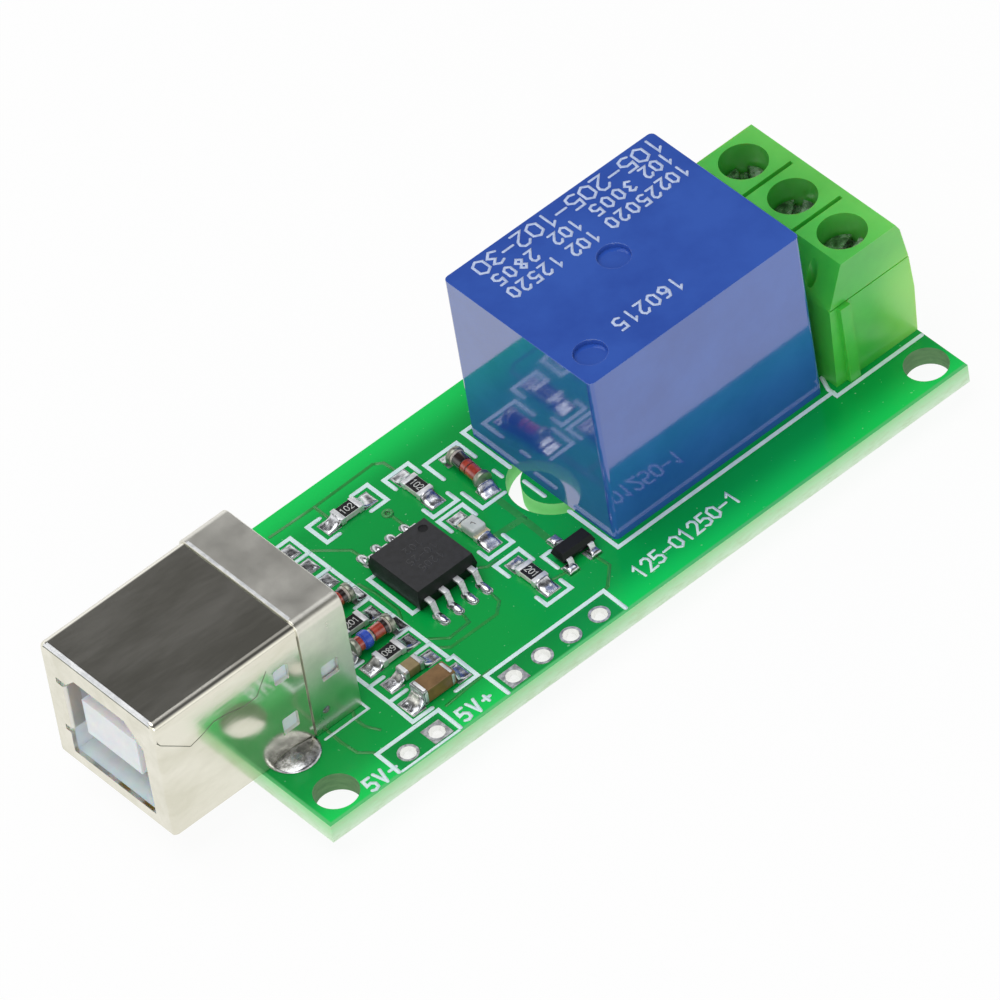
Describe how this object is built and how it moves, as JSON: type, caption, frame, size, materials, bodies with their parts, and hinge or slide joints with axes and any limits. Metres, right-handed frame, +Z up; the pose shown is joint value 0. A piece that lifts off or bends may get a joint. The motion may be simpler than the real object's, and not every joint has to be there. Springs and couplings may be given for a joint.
{
  "type": "relay module board",
  "caption": "Circuit board with a type B socket, a small controller, a blue cube relay and a green screw terminal; switches a mains or low-voltage load from a computer.",
  "frame": {"origin": "midway between the centres of the two mounting holes, on the underside of the board", "axes": "+X along the board from the socket to the screw terminal, +Y from the edge with the mounting holes to the far edge, +Z up from the board to its components"},
  "size_m": [0.065, 0.0248, 0.0179],
  "materials": {
    "solder_mask": "green solder mask over glass fibre",
    "tinned_copper": "tinned, uneven",
    "solder": "bright solder",
    "nickel_shell": "nickel plate, near mirror on its sides",
    "white_plastic": "moulded",
    "brass": "bright",
    "blue_plastic": "glossy moulded",
    "steel": "zinc plated",
    "copper_wire": "enamelled wire",
    "green_plastic": "moulded, satin",
    "black_moulding": "fine matt",
    "black_glaze": "glazed",
    "red_glass": "clear glass over a red core",
    "white_ceramic": "plain",
    "clear_lens": "clear, slightly milky",
    "tan_ceramic": "plain",
    "brown_ceramic": "plain"
  },
  "bodies": {
    "board": {"circuit_board": "solder_mask", "plated_pads": "tinned_copper", "solder_joints": "solder", "usb_shell": "nickel_shell", "usb_rear_cover": "nickel_shell", "usb_insulator": "white_plastic", "usb_contacts": "brass", "relay_cover": "blue_plastic", "relay_base": "blue_plastic", "relay_pins": "brass", "relay_yoke": "steel", "relay_core": "steel", "relay_bobbin": "white_plastic", "relay_coil": "copper_wire", "relay_return_spring": "brass", "relay_closed_contact": "brass", "relay_open_contact": "brass", "terminal_housing": "green_plastic", "terminal_pin_1": "brass", "terminal_pin_2": "brass", "terminal_pin_3": "brass", "controller_body": "black_moulding", "controller_leads": "tinned_copper", "transistor_body": "black_moulding", "transistor_leads": "tinned_copper", "resistor_1": "black_glaze", "resistor_2": "black_glaze", "resistor_3": "black_glaze", "resistor_4": "black_glaze", "resistor_5": "black_glaze", "resistor_ends_1": "tinned_copper", "resistor_ends_2": "tinned_copper", "resistor_ends_3": "tinned_copper", "resistor_ends_4": "tinned_copper", "resistor_ends_5": "tinned_copper", "diode_glass_1": "red_glass", "diode_glass_2": "red_glass", "diode_glass_3": "red_glass", "diode_ends_1": "tinned_copper", "diode_ends_2": "tinned_copper", "diode_ends_3": "tinned_copper", "led_base": "white_ceramic", "led_ends": "tinned_copper", "led_lens": "clear_lens", "small_capacitor": "tan_ceramic", "small_capacitor_ends": "tinned_copper", "large_capacitor": "brown_ceramic", "large_capacitor_ends": "tinned_copper"},
    "armature": {"relay_armature": "steel", "relay_contact_leaf": "brass"},
    "screw_1": {"terminal_screw_1": "steel"},
    "screw_2": {"terminal_screw_2": "steel"},
    "screw_3": {"terminal_screw_3": "steel"},
    "cage_1": {"terminal_cage_1": "steel"},
    "cage_2": {"terminal_cage_2": "steel"},
    "cage_3": {"terminal_cage_3": "steel"}
  },
  "joints": [
    {"name": "armature_swing", "type": "hinge", "parent": "board", "child": "armature", "pos_m": [0.00265, 0.0108, 0.0122], "axis": [0, 1, 0], "range_deg": [0, 3], "stiffness_Nm_per_rad": 0.02, "springref_deg": -5.73},
    {"name": "screw_turn_1", "type": "hinge", "parent": "board", "child": "screw_1", "pos_m": [0.02498, 0.0052, 0.009], "axis": [0, 0, -1], "range_deg": [0, 1440]},
    {"name": "screw_turn_2", "type": "hinge", "parent": "board", "child": "screw_2", "pos_m": [0.02498, 0.0102, 0.009], "axis": [0, 0, -1], "range_deg": [0, 1440]},
    {"name": "screw_turn_3", "type": "hinge", "parent": "board", "child": "screw_3", "pos_m": [0.02498, 0.0152, 0.009], "axis": [0, 0, -1], "range_deg": [0, 1440]},
    {"name": "cage_rise_1", "type": "slide", "parent": "board", "child": "cage_1", "axis": [0, 0, 1], "range_m": [0, 0.0018]},
    {"name": "cage_rise_2", "type": "slide", "parent": "board", "child": "cage_2", "axis": [0, 0, 1], "range_m": [0, 0.0018]},
    {"name": "cage_rise_3", "type": "slide", "parent": "board", "child": "cage_3", "axis": [0, 0, 1], "range_m": [0, 0.0018]}
  ],
  "couplings": [
    {"joint": "screw_turn_1", "follows": "cage_rise_1", "rad_per_m": 13963},
    {"joint": "screw_turn_2", "follows": "cage_rise_2", "rad_per_m": 13963},
    {"joint": "screw_turn_3", "follows": "cage_rise_3", "rad_per_m": 13963}
  ]
}
